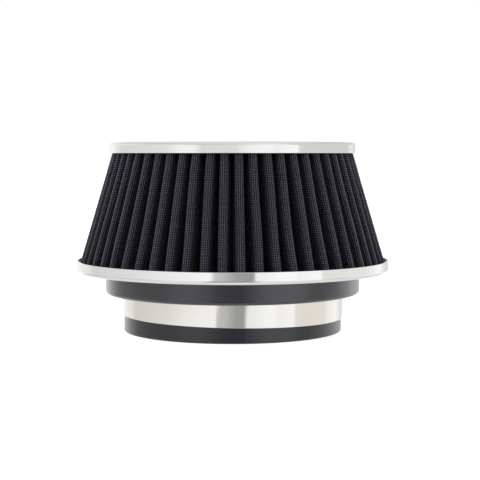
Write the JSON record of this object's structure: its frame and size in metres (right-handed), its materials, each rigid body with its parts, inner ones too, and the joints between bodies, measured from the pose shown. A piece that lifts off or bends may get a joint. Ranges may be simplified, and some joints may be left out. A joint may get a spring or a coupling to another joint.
{
  "type": "cone air filter",
  "caption": "Short pleated cone air filter with polished caps and a rubber neck that clamps onto an intake tube.",
  "frame": {"origin": "on the filter's axis, in the plane of the neck's lower rim", "axes": "+Z along the filter's axis, from the neck's rim to the top cap; +Y towards the clamp's worm housing at the back"},
  "size_m": [0.1524, 0.1524, 0.0918],
  "materials": {
    "polished_metal": "mirror polished",
    "potting_resin": "cast, satin",
    "black_wire": "black epoxy coated wire, satin",
    "filter_cotton": "oiled cotton gauze, matte",
    "clip_aluminium": "mill finish",
    "black_rubber": "moulded, satin",
    "stainless": "polished strip",
    "screw_steel": "zinc plated"
  },
  "bodies": {
    "filter": {"top_cap": "polished_metal", "top_potting": "potting_resin", "outer_screen": "black_wire", "filter_cloth": "filter_cotton", "inner_screen": "black_wire", "seam_clip": "clip_aluminium", "base_ring": "polished_metal", "base_potting": "potting_resin", "neck_flange": "black_rubber", "clamp_band": "stainless", "clamp_saddle": "stainless", "clamp_housing": "stainless"},
    "screw": {"clamp_screw": "screw_steel"}
  },
  "joints": [
    {"name": "screw_turn", "type": "hinge", "parent": "filter", "child": "screw", "pos_m": [0, 0.05877, 0.0129], "axis": [0.9998, 0, -0.0175], "continuous": true}
  ]
}
